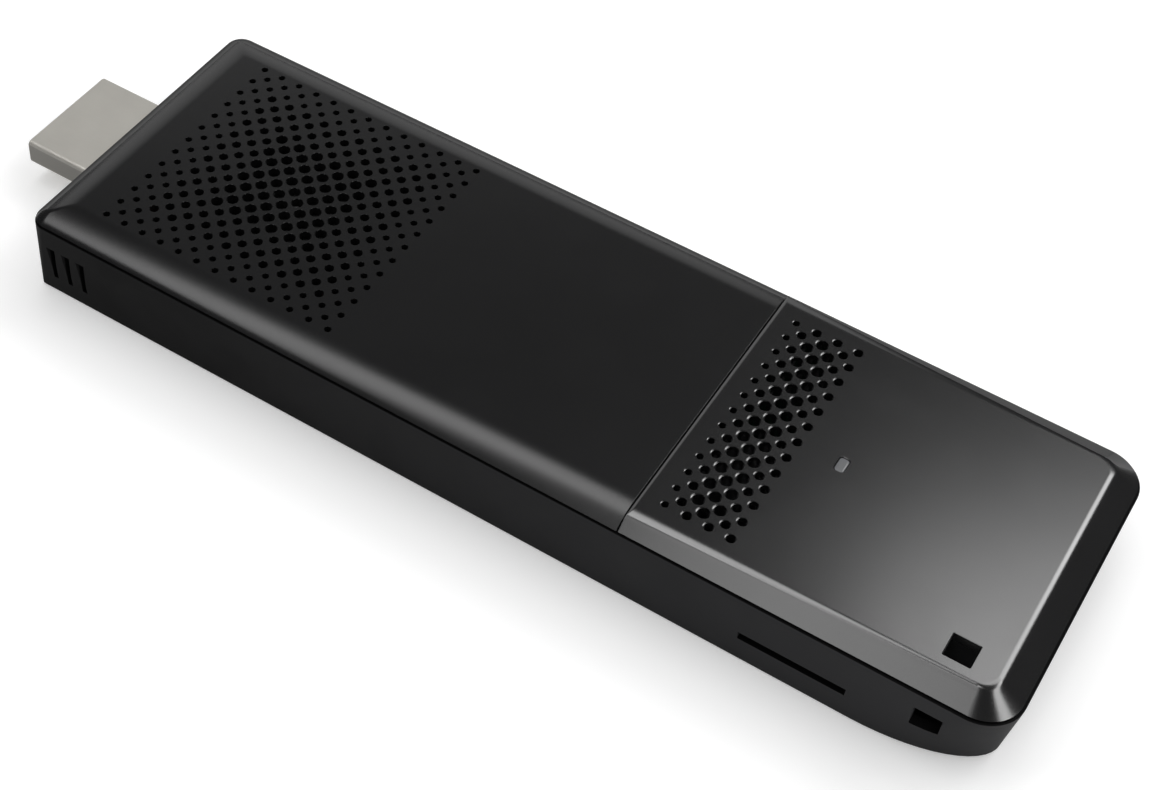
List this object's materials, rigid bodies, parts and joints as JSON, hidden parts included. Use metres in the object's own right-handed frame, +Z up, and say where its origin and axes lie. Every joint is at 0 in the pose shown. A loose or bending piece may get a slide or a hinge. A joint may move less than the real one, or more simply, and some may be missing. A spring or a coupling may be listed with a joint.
{
  "type": "stick computer",
  "caption": "Slim black stick computer with a display plug at one end, perforated matte and bevelled gloss covers, an internal blower, data, power and card sockets.",
  "frame": {"origin": "on the underside, below the middle of the overall box with the plug included", "axes": "+X along the casing from the plug to the tail, +Y to the side with the data and power sockets, +Z up through the covers"},
  "size_m": [0.1254, 0.038, 0.012],
  "materials": {
    "satin_black": "satin moulded black",
    "matte_black": "fine matte texture, black",
    "gloss_black": "polished black",
    "nickel": "nickel plate, satin",
    "black_insulator": "moulded black",
    "blue_insulator": "moulded blue",
    "gold_contact": "gold flash",
    "board_green": "solder mask green",
    "chip_black": "moulded epoxy",
    "ferrite": "sintered grey",
    "ceramic_tan": "glazed chip ceramic",
    "sheet_steel": "tin-plated sheet",
    "antenna_board": "bare laminate with copper",
    "lead_black": "jacketed lead",
    "copper": "bright copper",
    "thermal_pad": "soft grey pad",
    "fan_black": "moulded black",
    "fan_plate": "black oxide sheet",
    "bearing_bronze": "sintered bronze",
    "stator_copper": "wound copper",
    "white_nylon": "natural nylon",
    "light_grey": "translucent grey",
    "screw_steel": "zinc-plated"
  },
  "bodies": {
    "casing": {"base_shell": "satin_black", "vent_cover": "matte_black", "tail_cover": "gloss_black", "plug_shell": "nickel", "plug_insulator": "black_insulator", "plug_contacts": "gold_contact", "main_board": "board_green", "processor": "chip_black", "memory_chips": "chip_black", "flash_chip": "chip_black", "power_inductors": "ferrite", "board_parts": "ceramic_tan", "wireless_module": "board_green", "wireless_shield": "sheet_steel", "antenna_main": "antenna_board", "antenna_aux": "antenna_board", "antenna_lead_main": "lead_black", "antenna_lead_aux": "lead_black", "heat_spreader": "copper", "thermal_pad": "thermal_pad", "fin_stack": "copper", "fan_housing": "fan_black", "fan_plate": "fan_plate", "fan_bearing": "bearing_bronze", "fan_stator": "stator_copper", "fan_lead": "lead_black", "fan_connector": "white_nylon", "data_shell_first": "sheet_steel", "data_tongue_first": "black_insulator", "data_contacts_first": "gold_contact", "data_shell_second": "sheet_steel", "data_tongue_second": "blue_insulator", "data_contacts_second": "gold_contact", "power_shell": "sheet_steel", "power_tongue": "black_insulator", "card_socket": "sheet_steel", "card_contacts": "gold_contact", "card_spring": "sheet_steel", "switch_body": "sheet_steel", "indicator_chip": "white_nylon", "light_guide": "light_grey", "fan_screws": "screw_steel", "spreader_screws": "screw_steel", "board_screws": "screw_steel"},
    "rotor": {"fan_rotor": "fan_black", "rotor_magnet": "ferrite", "fan_shaft": "sheet_steel"},
    "button": {"power_button": "satin_black"},
    "plunger": {"switch_plunger": "black_insulator"},
    "slider": {"card_slider": "white_nylon"}
  },
  "joints": [
    {"name": "rotor_spin", "type": "hinge", "parent": "casing", "child": "rotor", "pos_m": [-0.0296, 0, 0.008], "axis": [0, 0, 1], "continuous": true},
    {"name": "button_press", "type": "slide", "parent": "casing", "child": "button", "axis": [0, -1, 0], "range_m": [0, 0.0003], "stiffness_N_per_m": 2000},
    {"name": "plunger_press", "type": "slide", "parent": "casing", "child": "plunger", "axis": [0, -1, 0], "range_m": [0, 0.0003]},
    {"name": "card_push", "type": "slide", "parent": "casing", "child": "slider", "axis": [0, 1, 0], "range_m": [0, 0.002], "stiffness_N_per_m": 150, "deforming": ["card_spring"]}
  ],
  "couplings": [
    {"joint": "plunger_press", "follows": "button_press", "ratio": 1}
  ]
}
